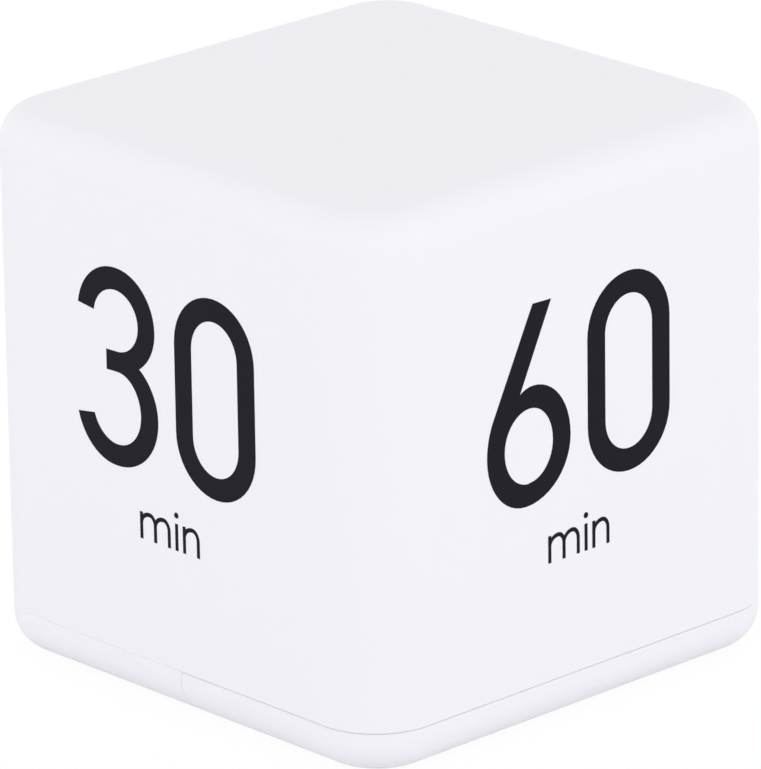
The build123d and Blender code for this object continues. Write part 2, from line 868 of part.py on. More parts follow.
parts = {
    "housing_shell": housing_shell(),
    "base_cover": base_cover(),
    "battery_door": battery_door(),
    "display_window": display_window(),
    "lcd_panel": lcd_panel(),
    "lcd_frame": lcd_frame(),
    "connector_strip_1": connector_strip(-1),
    "connector_strip_2": connector_strip(1),
    "main_board": main_board(),
    "timer_chip": timer_chip(),
    "quartz_crystal": quartz_crystal(),
    "board_capacitor": board_capacitor(),
    "chip_resistors": chip_resistors(),
    "switch_body": switch_body(),
    "switch_lever": switch_lever(),
    "switch_knob": switch_knob(),
    "sounder_case": sounder_case(),
    "sounder_disc": sounder_disc(),
    "battery_cell_1": battery_cell(1),
    "battery_cell_2": battery_cell(2),
    "button_contact": button_contact(),
    "spring_contact": spring_contact(),
    "link_contact": link_contact(),
    "cover_screws": cover_screws(),
    "board_screws": board_screws(),
    "lead_positive": lead_positive(),
    "lead_negative": lead_negative(),
}
for number in (1, 2, 3, 4):
    parts[f"tilt_can_{number}"] = tilt_can(number)
    parts[f"tilt_plug_{number}"] = tilt_plug(number)
    parts[f"tilt_ball_{number}"] = tilt_ball(number)

os.makedirs("parts", exist_ok=True)
for name, solid in parts.items():
    export_step(solid, f"parts/{name}.step")
print(f"cube side {cube_side:.2f} mm, travel of a tilt ball {ball_travel:.2f} mm")
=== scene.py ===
"""Cube timer: prints, finishes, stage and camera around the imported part.

Everything is in metres in the part's own frame: +Z is up, the origin is the centre of the underside,
the side with 30 looks along -Y and the side with 60 along +X.
"""

import math

import bmesh
import bpy
from bpy.props import FloatProperty, FloatVectorProperty, PointerProperty
from bpy.types import Operator, Panel, PropertyGroup
from mathutils import Matrix, Vector


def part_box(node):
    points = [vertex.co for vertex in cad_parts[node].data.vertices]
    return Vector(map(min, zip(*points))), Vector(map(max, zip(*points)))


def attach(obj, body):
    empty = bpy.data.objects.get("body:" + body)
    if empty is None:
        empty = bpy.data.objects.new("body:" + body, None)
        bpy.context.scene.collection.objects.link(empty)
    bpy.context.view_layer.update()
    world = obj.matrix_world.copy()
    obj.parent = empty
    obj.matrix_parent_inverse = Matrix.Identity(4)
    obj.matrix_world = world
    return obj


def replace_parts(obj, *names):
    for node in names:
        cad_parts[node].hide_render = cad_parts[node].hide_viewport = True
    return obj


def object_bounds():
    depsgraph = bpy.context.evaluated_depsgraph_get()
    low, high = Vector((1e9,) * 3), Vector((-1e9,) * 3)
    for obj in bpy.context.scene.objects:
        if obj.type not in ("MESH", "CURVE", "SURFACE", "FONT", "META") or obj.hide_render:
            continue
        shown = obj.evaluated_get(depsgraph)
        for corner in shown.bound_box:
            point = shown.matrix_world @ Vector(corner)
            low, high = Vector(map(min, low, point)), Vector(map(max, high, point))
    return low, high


bl_info = {
    "name": "Cube timer",
    "version": (1, 0, 0),
    "blender": (4, 5, 0),
    "location": "3D View > Sidebar > Cube timer",
    "description": "Prints and finishes the packed cube timer and sets it on a stage",
    "category": "Object",
}

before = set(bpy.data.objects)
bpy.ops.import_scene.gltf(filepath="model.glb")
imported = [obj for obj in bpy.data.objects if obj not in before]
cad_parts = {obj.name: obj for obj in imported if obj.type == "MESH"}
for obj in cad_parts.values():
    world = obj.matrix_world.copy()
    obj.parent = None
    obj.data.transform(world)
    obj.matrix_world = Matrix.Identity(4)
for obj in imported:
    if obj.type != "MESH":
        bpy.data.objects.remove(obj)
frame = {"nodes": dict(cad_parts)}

MM = 0.001
NEAR = 1e-4  # millimetres within which two points are one
CAD_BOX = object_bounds()
SIDE = CAD_BOX[1].z - CAD_BOX[0].z


def linear(code):
    """Linear colour of an sRGB hex code."""
    parts = [int(code[i : i + 2], 16) / 255 for i in (0, 2, 4)]
    return tuple(c / 12.92 if c <= 0.04045 else ((c + 0.055) / 1.055) ** 2.4 for c in parts)


def length(name, text, default, low=0.0):
    """Length property from millimetres, which Blender keeps in metres."""
    limits = {"min": low, "max": 100.0, "unit": "LENGTH", "precision": 5}
    return FloatProperty(name=name, description=text, default=default * MM, **limits)


def colour(name, text, code):
    """Colour property from an sRGB hex code."""
    return FloatVectorProperty(
        name=name, description=text, default=linear(code), min=0.0, max=1.0, size=3, subtype="COLOR"
    )


def degrees(name, text, default):
    """Angle property from degrees."""
    return FloatProperty(name=name, description=text, default=math.radians(default), subtype="ANGLE")


def amount(name, text, default, **limits):
    """Number property from zero up."""
    return FloatProperty(name=name, description=text, default=default, min=0.0, **limits)


# ---- Properties


class CubePrint(PropertyGroup):
    """Sizes of the pad-printed numbers."""

    digit_height: length("Digit height", "Height of the digits", 22.75)
    digit_gap: length("Digit gap", "Clear room between two digits", 2.72)
    word_height: length("Word height", "Height of the small letters of the word below", 3.1)
    word_stroke: length("Word stroke", "Width of the small letters' strokes", 0.48)
    word_drop: length("Word drop", "From the digits' foot to the word's foot", 7.5)
    base_height: length("Foot of the digits", "Height of the digits' foot over the table", 26.68)
    ink_rise: length("Ink rise", "How far the ink stands proud of the plastic", 0.02)
    ink_depth: length("Ink depth", "How far the ink's back lies in the plastic", 0.02)


class CubeUnderside(PropertyGroup):
    """Sizes of the marks on the display, beside the switch and on the cells."""

    digit_height: length("Display digit height", "Height of the display's digits", 9.6)
    digit_width: length("Display digit width", "Width of the display's digits", 4.8)
    digit_pitch: length("Display digit pitch", "From one digit of the display to the next", 6.1)
    segment: length("Segment", "Width of one segment", 0.95)
    letter_height: length("Letter height", "Height of the switch's letters", 1.7)
    letter_row: length("Letter row", "From the switch's middle to the middle of its words", 6.2)
    letter_spread: length("Letter spread", "From the switch's middle along its travel to each word", 4.2)
    film: length("Film", "Thickness of prints and thin films", 0.04)
    band_start: length("Band start", "From a cell's shoulder to its pale band", 0.9)
    band_width: length("Band width", "Width of a cell's pale band", 9.0)
    sign: length("Cell sign", "Size of the signs on the cells", 3.2)
    nub: length("Cell nub", "Height of a cell's raised end", 0.8)
    nub_radius: length("Nub radius", "Radius of a cell's raised end", 1.9)
    rim: length("Cell rim", "Width of the film's rim round a cell's end", 0.8)


class CubeBoard(PropertyGroup):
    """Sizes of what is printed and soldered on the main board."""

    solder_radius: length("Solder radius", "Radius of the solder round a wire", 0.8)
    small_radius: length("Small solder radius", "Radius of the solder round a close pair of wires", 0.45)
    solder_height: length("Solder height", "Height of the solder round a wire", 0.45)
    foil: length("Foil", "Thickness of tracks and print on the board", 0.03)
    track: length("Track", "Width of a track", 0.45)
    line: length("Printed line", "Width of the printed outlines", 0.2)
    margin: length("Outline margin", "From a part to the outline printed round it", 0.4)
    wire: length("Crystal wire", "Radius of the crystal's wires", 0.15)
    ball: length("Ball", "Radius of the tilt switches' balls", 1.9)


class CubeColours(PropertyGroup):
    """Colours of the finishes."""

    shell: colour("Shell", "Moulded white ABS", "F3F2F8")
    ink: colour("Ink", "Pad-printed black ink", "13121E")
    glass: colour("Display glass", "Polariser over the unlit display", "A7AFA2")
    segment: colour("Segment", "Faint unlit segments of the display", "939B8E")
    letters: colour("Switch letters", "Grey ink of the switch's words", "74767E")
    frame: colour("Display frame", "White ABS of the display's frame", "E4E4E8")
    board: colour("Board", "Solder mask on glass-fibre laminate", "1E5B3A")
    track: colour("Track", "Solder mask where copper lies under it", "2F7A4F")
    board_print: colour("Board print", "White outlines on the board", "E6E8E4")
    jacket: colour("Cell jacket", "Printed film round a cell", "3A4048")
    jacket_band: colour("Cell band", "Pale band at a cell's positive end", "C9CCD2")
    lead_red: colour("Red lead", "PVC insulation of the positive lead", "B3201C")
    lead_black: colour("Black lead", "PVC insulation of the negative lead", "1C1C1E")


class CubeStage(PropertyGroup):
    """Camera, lamp and floor."""

    azimuth: degrees("Azimuth", "Camera's way round the cube", 46.755)
    elevation: degrees("Elevation", "Camera's height over the level", 19.302)
    roll: degrees("Roll", "Turn of the camera about its axis", -0.856)
    distance: length("Distance", "From the camera to the cube's middle", 871)
    aside: length("Aside", "Cube's middle to the right of the camera's axis", 0.2, low=-1.0)
    above: length("Above", "Cube's middle above the camera's axis", 1.28, low=-1.0)
    focal_length: amount("Focal length", "Focal length on a 36 mm sensor", 370.9, unit="CAMERA")
    lamp_power: amount("Lamp power", "Power of the soft lamp beyond the side with 60", 1.0, unit="POWER")
    lamp_azimuth: degrees("Lamp azimuth", "Lamp's way round the cube", 105)
    lamp_elevation: degrees("Lamp elevation", "Lamp's height over the level", 45)
    lamp_distance: length("Lamp distance", "From the lamp to the cube", 2000)
    lamp_size: length("Lamp size", "Diameter of the soft lamp", 1200)
    sky_level: amount("Level sky", "Strength of the even light from level all round", 1.61)
    sky_above: amount("Sky above", "Strength of the even light from straight above", 0.562)
    floor_glow: amount("Floor glow", "Light that the floor adds on the sides", 0.06)
    floor_shade: amount("Floor shade", "Share of the floor's white that takes the cube's shadow", 0.08, max=1.0)
    floor_size: length("Floor size", "Side of the floor", 6000)
    floor: colour("Floor", "Matt white studio floor", "E9E9E9")


# ---- Materials


def add_node(tree, kind, settings=None, links=None):
    """Adds a shader node, sets its properties and sockets, and links outputs of other nodes to its inputs."""
    node = tree.nodes.new("ShaderNode" + kind)
    for key, value in (settings or {}).items():
        if isinstance(key, str) and hasattr(node, key):
            setattr(node, key, value)
        else:
            node.inputs[key].default_value = value
    for key, source in (links or {}).items():
        tree.links.new(source, node.inputs[key])
    return node


def new_material(name):
    """Empty node material with its output."""
    material = bpy.data.materials.new(name)
    material.use_nodes = True
    material.node_tree.nodes.clear()
    return material, material.node_tree


def rgba(value):
    """Colour with full cover, from linear parts or an sRGB hex code."""
    return (*(linear(value) if isinstance(value, str) else value), 1.0)


def finish(
    name, value, roughness, metallic=0.0, ior=1.5, grain=0.0, bump=0.0, other=None, spread=0.0, run=(1, 1, 1), **sockets
):
    """Principled finish, plain or with a grain.

    The grain's size is in millimetres. A run below 1 draws it out along that axis, and above 1 packs it. It gives a
    bump of a depth in millimetres, spots of the other colour, and a spread of the roughness.
    """
    material, tree = new_material(name)
    settings = {"Base Color": rgba(value), "Roughness": roughness, "Metallic": metallic}
    if not metallic:
        settings["IOR"] = ior
    settings.update(sockets)
    links = {}
    if grain:
        spots = add_node(tree, "TexCoord")
        drawn = add_node(tree, "Mapping", {"Scale": run}, {"Vector": spots.outputs["Object"]})
        detail = {"Scale": 1.0 / (grain * MM), "Detail": 3.0, "Roughness": 0.55}
        noise = add_node(tree, "TexNoise", detail, {"Vector": drawn.outputs["Vector"]}).outputs["Fac"]
        if bump:
            relief = add_node(tree, "Bump", {"Strength": 1.0, "Distance": bump * MM}, {"Height": noise})
            links["Normal"] = relief.outputs["Normal"]
        if other:
            tones = {"data_type": "RGBA", 6: rgba(value), 7: rgba(other)}
            links["Base Color"] = add_node(tree, "Mix", tones, {0: noise}).outputs[2]
        if spread:
            ends = {"To Min": roughness - spread, "To Max": roughness + spread}
            links["Roughness"] = add_node(tree, "MapRange", ends, {"Value": noise}).outputs["Result"]
    shader = add_node(tree, "BsdfPrincipled", settings, links)
    add_node(tree, "OutputMaterial", links={"Surface": shader.outputs["BSDF"]})
    return material


def dress(starts, *look, **more):
    """Gives the CAD nodes whose names start in one of these ways one finish in all their slots."""
    material = finish(*look, **more)
    nodes = [node for name, node in frame["nodes"].items() if name.startswith(starts)]
    if not nodes:
        raise KeyError(starts)
    for node in nodes:
        node.data.materials.clear()
        node.data.materials.append(material)


# ---- Drawing helpers


def add_object(name, data):
    """Object that holds some data, linked to the scene."""
    item = bpy.data.objects.new(name, data)
    bpy.context.scene.collection.objects.link(item)
    return item


class Outline:
    """Closed outline of corners (x, y) and elliptical arcs (centre, radii, start, end), in millimetres."""

    def __init__(self, *strokes):
        self.points = []
        for stroke in strokes:
            (self.spot if len(stroke) == 2 else self.arc)(*stroke)

    def spot(self, x, y, before=None, after=None):
        """Adds a Bezier point with its two handles."""
        here = Vector((x, y))
        if self.points and (self.points[-1][0] - here).length < NEAR:
            last = self.points[-1]
            self.points[-1] = (last[0], last[1], after or last[0])
            return
        self.points.append((here, before or here, after or here))

    def line(self, *spots):
        """Adds corners."""
        for x, y in spots:
            self.spot(x, y)

    def arc(self, centre, radii, start, end):
        """Adds an elliptical arc between two angles in degrees, in steps of a quarter turn or less."""
        steps = max(1, math.ceil(round(abs(end - start) / 90, 6)))
        turn = math.radians(end - start) / steps
        reach = 4 / 3 * math.tan(turn / 4)
        for step in range(steps + 1):
            angle = math.radians(start) + step * turn
            x = centre[0] + radii[0] * math.cos(angle)
            y = centre[1] + radii[1] * math.sin(angle)
            way = Vector((-radii[0] * math.sin(angle), radii[1] * math.cos(angle))) * reach
            here = Vector((x, y))
            before = here - way if step else None
            after = here + way if step < steps else None
            self.spot(x, y, before, after)


def plate(outlines, thickness, grow=MM, steps=12):
    """Closed plate from outlines that grow from millimetres, the first one an edge, the others holes or more edges."""
    curve = bpy.data.curves.new("shape", "CURVE")
    curve.dimensions = "2D"
    curve.fill_mode = "BOTH"
    curve.resolution_u = steps
    for outline in outlines:
        points = list(outline.points)
        if (points[0][0] - points[-1][0]).length < NEAR:
            points[0] = (points[0][0], points[-1][1], points[0][2])
            points.pop()
        spline = curve.splines.new("BEZIER")
        spline.use_cyclic_u = True
        spline.bezier_points.add(len(points) - 1)
        for point, (here, before, after) in zip(spline.bezier_points, points):
            point.handle_left_type = point.handle_right_type = "FREE"
            point.co = (here.x * grow, here.y * grow, 0)
            point.handle_left = (before.x * grow, before.y * grow, 0)
            point.handle_right = (after.x * grow, after.y * grow, 0)
    return curve_mesh(curve, thickness)


def mesh_of_curve(curve):
    """Mesh of a curve, which is then removed."""
    holder = add_object("shape", curve)
    graph = bpy.context.evaluated_depsgraph_get()
    mesh = bpy.data.meshes.new_from_object(holder.evaluated_get(graph))
    bpy.data.objects.remove(holder)
    bpy.data.curves.remove(curve)
    return mesh


def mesh_of(bm):
    """Mesh of a bmesh, which is then freed."""
    mesh = bpy.data.meshes.new("shape")
    bm.to_mesh(mesh)
    bm.free()
    return mesh


def curve_mesh(curve, thickness):
    """Closed plate of the flat curve's shape, from z 0 up to its thickness."""
    curve.extrude = thickness / 2
    mesh = mesh_of_curve(curve)
    bm = bmesh.new()
    bm.from_mesh(mesh)
    bmesh.ops.remove_doubles(bm, verts=bm.verts, dist=NEAR * MM)
    bmesh.ops.translate(bm, vec=(0, 0, thickness / 2), verts=bm.verts)
    bmesh.ops.recalc_face_normals(bm, faces=bm.faces)
    bm.to_mesh(mesh)
    bm.free()
    return mesh


def moved(mesh, matrix):
    """A mesh, set in its place."""
    mesh.transform(matrix)
    return mesh


def place(name, meshes, material):
    """One piece on the housing from several placed meshes."""
    bm = bmesh.new()
    for mesh in meshes:
        bm.from_mesh(mesh)
        bpy.data.meshes.remove(mesh)
    put(name, mesh_of(bm), material)


def put(name, mesh, material, body="housing"):
    """Links a mesh as a piece that rides on a body."""
    mesh.name = name
    mesh.materials.clear()
    mesh.materials.append(material)
    piece = add_object(name, mesh)
    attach(piece, body)
    return piece


def ribbon(points, width):
    """Outline of a track of one width along points in millimetres, with mitred corners."""
    sharpest = 0.5
    spots = [Vector(point) for point in points]
    ways = [(b - a).normalized() for a, b in zip(spots, spots[1:])]
    sides = []
    for index, spot in enumerate(spots):
        before = ways[max(index - 1, 0)]
        after = ways[min(index, len(ways) - 1)]
        across = Vector((-before.y - after.y, before.x + after.x)).normalized()
        reach = width / 2 / max(across.dot(Vector((-after.y, after.x))), sharpest)
        sides.append(across * reach)
    left = [spot + side for spot, side in zip(spots, sides)]
    right = [spot - side for spot, side in zip(spots, sides)]
    return Outline(*left, *reversed(right))


def bar(start, end, width):
    """Outline of a segment in millimetres, with both ends pointed."""
    start, end = Vector(start), Vector(end)
    along = (end - start).normalized() * width / 2
    across = Vector((-along.y, along.x))
    near, far = start + along, end - along
    return Outline(start, near - across, far - across, end, far + across, near + across)


def rounds(centre, radius, width=0.0):
    """Outlines of a disc, or of a ring of a width, in millimetres."""
    return [Outline((centre, (reach, reach), 0, 360)) for reach in ((radius, radius - width) if width else (radius,))]


def box_line(low, high, width):
    """Outlines of a rectangle drawn with a line of one width, in millimetres."""
    edges = []
    for step in (width / 2, -width / 2):
        left, front = low[0] - step, low[1] - step
        right, back = high[0] + step, high[1] + step
        edges.append(Outline((left, front), (right, front), (right, back), (left, back)))
    return edges


def sign_outline(size, plus, centre=(0, 0)):
    """Outline of a plus or minus sign in millimetres."""
    reach, half = size / 2, size / 9
    if plus:
        quarter = [(half, half), (half, reach), (-half, reach)]
        spots = [Matrix.Rotation(math.radians(90 * n), 2) @ Vector(spot) for n in range(4) for spot in quarter]
    else:
        spots = [Vector(spot) for spot in ((reach, half), (-reach, half), (-reach, -half), (reach, -half))]
    return Outline(*[spot + Vector(centre) for spot in spots])


# Share of the plain font's size that its capitals take
CAPITAL = 0.69


def word_mesh(text, height, thickness):
    """Closed plate of a plain word about the origin, with its capitals at a height in metres."""
    curve = bpy.data.curves.new("word", "FONT")
    curve.body = text
    curve.align_x = "CENTER"
    curve.size = height / CAPITAL
    curve.resolution_u = 3
    return moved(curve_mesh(curve, thickness), Matrix.Translation((0, -height / 2, 0)))


def read_from_below(x, y, z):
    """Place of a flat drawing that is read from below, along +Y and with its top towards +X."""
    return Matrix.Translation((x, y, z)) @ Matrix(((0, 1, 0), (1, 0, 0), (0, 0, -1))).to_4x4()


def box_of(node):
    """Middle of a node's box at rest and half its size, in metres."""
    low, high = (Vector(corner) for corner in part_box(node))
    return (low + high) / 2, (high - low) / 2


def lathe(profile, matrix, steps=48):
    """Closed round mesh: a closed profile of radius and height in metres, spun about Z and placed."""
    bm = bmesh.new()
    verts = [bm.verts.new((radius, 0, height)) for radius, height in profile]
    edges = [bm.edges.new(pair) for pair in zip(verts, verts[1:])]
    if profile[0][0] and profile[-1][0]:
        edges.append(bm.edges.new((verts[-1], verts[0])))
    bmesh.ops.spin(bm, geom=verts + edges, axis=(0, 0, 1), cent=(0, 0, 0), angle=math.tau, steps=steps, use_merge=True)
    bmesh.ops.remove_doubles(bm, verts=bm.verts, dist=NEAR * MM)
    bmesh.ops.recalc_face_normals(bm, faces=bm.faces)
    bmesh.ops.transform(bm, matrix=matrix, verts=bm.verts)
    mesh = mesh_of(bm)
    mesh.shade_smooth()
    mesh.set_sharp_from_angle(angle=math.radians(40))
    return mesh


def wrap_on_cell(mesh, centre, radius):
    """Cuts a flat drawing that is read from below into strips and bends it round the lower side of a cell along Y."""
    strip = 0.4 * MM
    bm = bmesh.new()
    bm.from_mesh(mesh)
    for level in range(-5, 6):
        geom = bm.verts[:] + bm.edges[:] + bm.faces[:]
        bmesh.ops.bisect_plane(bm, geom=geom, plane_co=(0, level * strip, 0), plane_no=(0, 1, 0))
    for vert in bm.verts:
        turn = vert.co.y / radius
        reach = radius + vert.co.z
        vert.co = centre + Vector((reach * math.sin(turn), vert.co.x, -reach * math.cos(turn)))
    bmesh.ops.recalc_face_normals(bm, faces=bm.faces)
    bm.to_mesh(mesh)
    bm.free()


# ---- Glyphs: each returns its outlines and its width, drawn for digits 22.5 high with strokes about 2.6 wide

DIGIT = 22.5


def digit_zero():
    """Upright ring with straight sides."""
    outer = Outline(((6.225, 16.2), (6.225, 6.3), 0, 180), ((6.225, 6.3), (6.225, 6.3), 180, 360))
    inner = Outline(((6.225, 16.1), (3.56, 3.85), 0, 180), ((6.225, 6.4), (3.56, 3.85), 180, 360))
    return [outer, inner], 12.45


def digit_three():
    """Two open bowls that meet in a short bar."""
    edge = Outline(
        ((6.28, 16.45), (6.1, 5.98), 171.9, 90),
        ((6.42, 16.45), (5.98, 5.98), 90, 0),
        ((6.28, 16.45), (6.12, 5.68), 0, -55),
        ((6.0, 6.5), (6.68, 6.5), 55.4, -90),
        ((5.75, 6.5), (6.1, 6.5), -90, -165),
        ((6.1, 6.5), (3.84, 4.06), -161.5, 0),
        ((6.4, 6.5), (3.54, 4.2), 0, 90),
        (4.6, 10.66),
        (4.6, 12.95),
        ((6.24, 16.45), (3.52, 3.46), -90, 171.3),
    )
    return [edge], 12.8


def digit_six():
    """Slanted stem that runs into a round bowl."""
    edge = Outline(
        (6.87, 22.22),
        ((6.2, 6.45), (6.22, 7.8), 150, 180),
        ((5.7, 6.45), (5.72, 6.6), 180, 270),
        ((5.7, 6.45), (6.7, 6.6), 270, 360),
        ((6.85, 6.45), (5.55, 6.7), 360, 450),
        ((6.85, 6.45), (4.7, 6.7), 90, 114.5),
        (9.62, 22.15),
    )
    bowl = Outline(
        ((6.3, 6.52), (3.45, 4.2), 0, 90),
        ((6.3, 6.52), (3.72, 4.2), 90, 180),
        ((6.15, 6.52), (3.57, 4.17), 180, 270),
        ((6.15, 6.52), (3.6, 4.12), 270, 360),
    )
    return [edge, bowl], 12.3


def digit_five():
    """Flat flag, short stem and an open bowl."""
    flag = (2.0, 22.5), (11.3, 22.5), (11.3, 19.95), (4.4, 19.95)
    bowl = ((5.95, 7.25), (6.5, 7.25), 108, -161), ((5.95, 7.25), (3.9, 4.75), -161, 141)
    return [Outline(*flag, *bowl, (1.05, 10.24))], 12.45


def digit_one():
    """Upright stem with a slanted flag."""
    stem = (4.3, 0), (6.95, 0), (6.95, 22.5), (4.95, 22.5)
    return [Outline(*stem, (0.3, 19.1), (0.3, 16.2), (4.3, 19.0))], 6.95


def word_min(stroke, height):
    """The small letters of the word min, as outlines that start at the first stem's left edge."""
    half = stroke / 2
    pitch, i_start, n_start = 2.24, 5.72, 6.95
    lean, rise, crown, dot_lift = 0.2, 1.36, 0.12, 0.96
    left = pitch / 2 + lean
    right = pitch / 2 - lean
    middle = height + crown - rise
    valley = math.degrees(math.acos(pitch / (pitch + stroke)))
    shapes = []
    for start, arches in ((half, 2), (half + n_start, 1)):
        edge = Outline((start - half, 0), (start - half, height), (start + half, height))
        for arch in range(arches):
            centre = (start + arch * pitch + left, middle)
            first = valley if arch else math.degrees(math.acos((left - half) / (left + half)))
            last = 0 if arch == arches - 1 else valley
            edge.arc(centre, (left + half, rise), 180 - first, 90)
            edge.arc(centre, (right + half, rise), 90, last)
        edge.line((start + arches * pitch + half, 0), (start + arches * pitch - half, 0))
        for arch in reversed(range(arches)):
            centre = (start + arch * pitch + left, middle)
            edge.arc(centre, (right - half, rise - stroke), 0, 90)
            edge.arc(centre, (left - half, rise - stroke), 90, 180)
            edge.line((start + arch * pitch + half, 0))
            if arch:
                edge.line((start + arch * pitch - half, 0))
        shapes.append(edge)
    x = half + i_start
    stem = Outline((x - half, 0), (x - half, height), (x + half, height), (x + half, 0))
    dot = Outline(((x, height + dot_lift), (0.35, 0.34), 0, 360))
    return shapes + [stem, dot], half * 2 + n_start + pitch


# Side of the cube: direction that it looks in, digits, shift of the print to the right and up, width share, shift of
# the word to the right and up, its width share
SIDES = {
    "print_30": (0, (digit_three, digit_zero), (-0.45, 0.0), 1.0, (0.13, 0.07), 0.99),
    "print_60": (90, (digit_six, digit_zero), (-0.8, -0.32), 0.993, (-0.17, 0.0), 0.967),
    "print_5": (180, (digit_five,), (0.0, 0.0), 1.0, (0.0, 0.0), 1.0),
    "print_15": (270, (digit_one, digit_five), (0.0, 0.0), 1.0, (0.0, 0.0), 1.0),
}


class CUBE_OT_print_sides(Operator):
    """Pad-print the minutes on the four upright sides"""

    bl_idname = "cube.print_sides"
    bl_label = "Print the sides"

    def execute(self, context):
        sizes = context.scene.cube_print
        colours = context.scene.cube_colours
        # Pad-printing ink: a thin satin film, nearly black with a slight blue cast
        ink = finish("Pad_print_ink", colours.ink, 0.5, **{"Specular IOR Level": 0.1})
        grow = sizes.digit_height / DIGIT
        gap = sizes.digit_gap
        thickness = sizes.ink_rise + sizes.ink_depth
        for name, (turn, digits, (aside, lift), stretch, (word_aside, word_lift), word_stretch) in SIDES.items():
            glyphs = [digit() for digit in digits]
            total = sum(width for _, width in glyphs) * grow + gap * (len(glyphs) - 1)
            x = -total / 2
            meshes = []
            for outlines, width in glyphs:
                meshes.append((plate(outlines, thickness, grow), Matrix.Translation((x, 0, 0))))
                x += width * grow + gap
            outlines, width = word_min(sizes.word_stroke / MM, sizes.word_height / MM)
            mesh = plate(outlines, thickness, steps=6)
            corner = (word_aside - width * word_stretch / 2, word_lift - sizes.word_drop / MM, 0)
            meshes.append((mesh, Matrix.Translation(Vector(corner) * MM) @ Matrix.Diagonal((word_stretch, 1, 1, 1))))
            side = (
                Matrix.Rotation(math.radians(turn), 4, "Z")
                @ Matrix.Translation((aside * MM, -SIDE / 2 + sizes.ink_depth, sizes.base_height + lift * MM))
                @ Matrix.Rotation(math.radians(90), 4, "X")
                @ Matrix.Diagonal((stretch, 1, 1, 1))
            )
            place(name, [moved(mesh, side @ at) for mesh, at in meshes], ink)
        return {"FINISHED"}


class CUBE_OT_finish_case(Operator):
    """Give the shell, base cover and battery door their moulded finish"""

    bl_idname = "cube.finish_case"
    bl_label = "Finish the case"

    def execute(self, context):
        colours = context.scene.cube_colours
        # ABS moulded in a finely blasted tool: opaque white with a faint lavender tone and a soft satin sheen
        case = ("housing_shell", "base_cover", "battery_door")
        dress(case, "Moulded_white_ABS", colours.shell, 0.55, ior=1.53, grain=0.35, bump=0.0012)
        # Grey ABS from a polished tool: smoother than the case, where the thumb moves it
        dress("switch_knob", "Polished_grey_ABS", "8E9096", 0.35, ior=1.53)
        return {"FINISHED"}


class CUBE_OT_finish_inside(Operator):
    """Give the display, board, cells and all inner pieces their finishes"""

    bl_idname = "cube.finish_inside"
    bl_label = "Finish the inside"

    def execute(self, context):
        colours = context.scene.cube_colours
        # Cast acrylic: clear and glossy, with a trace of grey
        dress("display_window", "Clear_acrylic", "F4F6F7", 0.03, ior=1.49, **{"Transmission Weight": 1.0})
        # Polariser film laid on the display: flat grey-green with a broad soft sheen
        dress("lcd_panel", "Display_polariser", colours.glass, 0.3, grain=4, other="A3AB9D", spread=0.04)
        # ABS from a spark-eroded tool: plain white, a little duller than the shell
        dress("lcd_frame", "Eroded_white_ABS", colours.frame, 0.5, ior=1.53, grain=0.3, bump=0.002)
        # Silicone with carbon layers: dull dark grey, streaked across the strip
        layers = {"grain": 0.5, "other": "56565C", "run": (1, 6, 1)}
        dress("connector_strip", "Layered_silicone", "303033", 0.7, ior=1.43, **layers)
        # Solder mask over woven glass laminate: deep green with a wet sheen and a trace of the weave
        weave = {"grain": 0.6, "bump": 0.002, "other": "205F3D"}
        dress("main_board", "Solder_mask_laminate", colours.board, 0.33, ior=1.55, **weave)
        # Black epoxy that ran out and set: glossy, with faint waves
        dress("timer_chip", "Black_epoxy", "17171A", 0.22, ior=1.55, grain=1.5, bump=0.01)
        # Deep-drawn cans with a tin coat: bright, clouded grey
        clouds = {"metallic": 1.0, "grain": 1.2, "other": "B4B5B9", "spread": 0.06}
        dress(("quartz_crystal", "tilt_can"), "Tinned_drawn_steel", "CBCCCF", 0.26, **clouds)
        # Shrunk PET sleeve: dark blue and glossy, slightly rippled
        dress("board_capacitor", "Shrunk_PET_sleeve", "22304F", 0.28, ior=1.57, grain=1, bump=0.01)
        # Fired thick-film ceramic: nearly black, semi-matt
        dress("chip_resistors", "Fired_ceramic", "2B2B2E", 0.4, ior=1.6, grain=0.1, bump=0.002)
        # Zinc-plated steel: bright, with a clouded passivated tone
        clouds = {"metallic": 1.0, "grain": 0.7, "other": "AEB0B2", "spread": 0.07}
        dress(("switch_body", "cover_screws", "board_screws"), "Bright_zinc_steel", "C6C7C4", 0.3, **clouds)
        # Black nylon: semi-matt with a fine moulded grain
        blacks = ("switch_lever", "sounder_case", "tilt_plug")
        dress(blacks, "Moulded_black_nylon", "26262A", 0.5, ior=1.53, grain=0.25, bump=0.003)
        # Rolled brass: warm yellow, drawn out along the strip
        rolled = {"metallic": 1.0, "grain": 0.4, "other": "CBA55C", "spread": 0.08, "run": (1, 0.08, 1)}
        dress("sounder_disc", "Rolled_brass", "DDB96F", 0.3, **rolled)
        # Nickel plate on spring steel: warm bright metal with faint rolling lines
        rolled = {"metallic": 1.0, "grain": 0.3, "other": "C4C0B8", "spread": 0.05, "run": (0.1, 1, 1)}
        dress(("button_contact", "spring_contact", "link_contact"), "Nickel_plate", "D3CFC6", 0.2, **rolled)
        # Extruded PVC: plain colours with a soft sheen and a slight waviness
        dress("lead_positive", "Red_PVC", colours.lead_red, 0.4, ior=1.53, grain=0.8, bump=0.004)
        dress("lead_negative", "Black_PVC", colours.lead_black, 0.4, ior=1.53, grain=0.8, bump=0.004)
        # Printed film shrunk round a cell: dark slate under a glossy coat
        waves = {"grain": 2, "bump": 0.004, "other": "343A42"}
        dress("battery_cell", "Printed_cell_film", colours.jacket, 0.28, ior=1.57, **waves)
        return {"FINISHED"}


# How far the display's digits lean to the right for each step up
DISPLAY_SLANT = 0.09


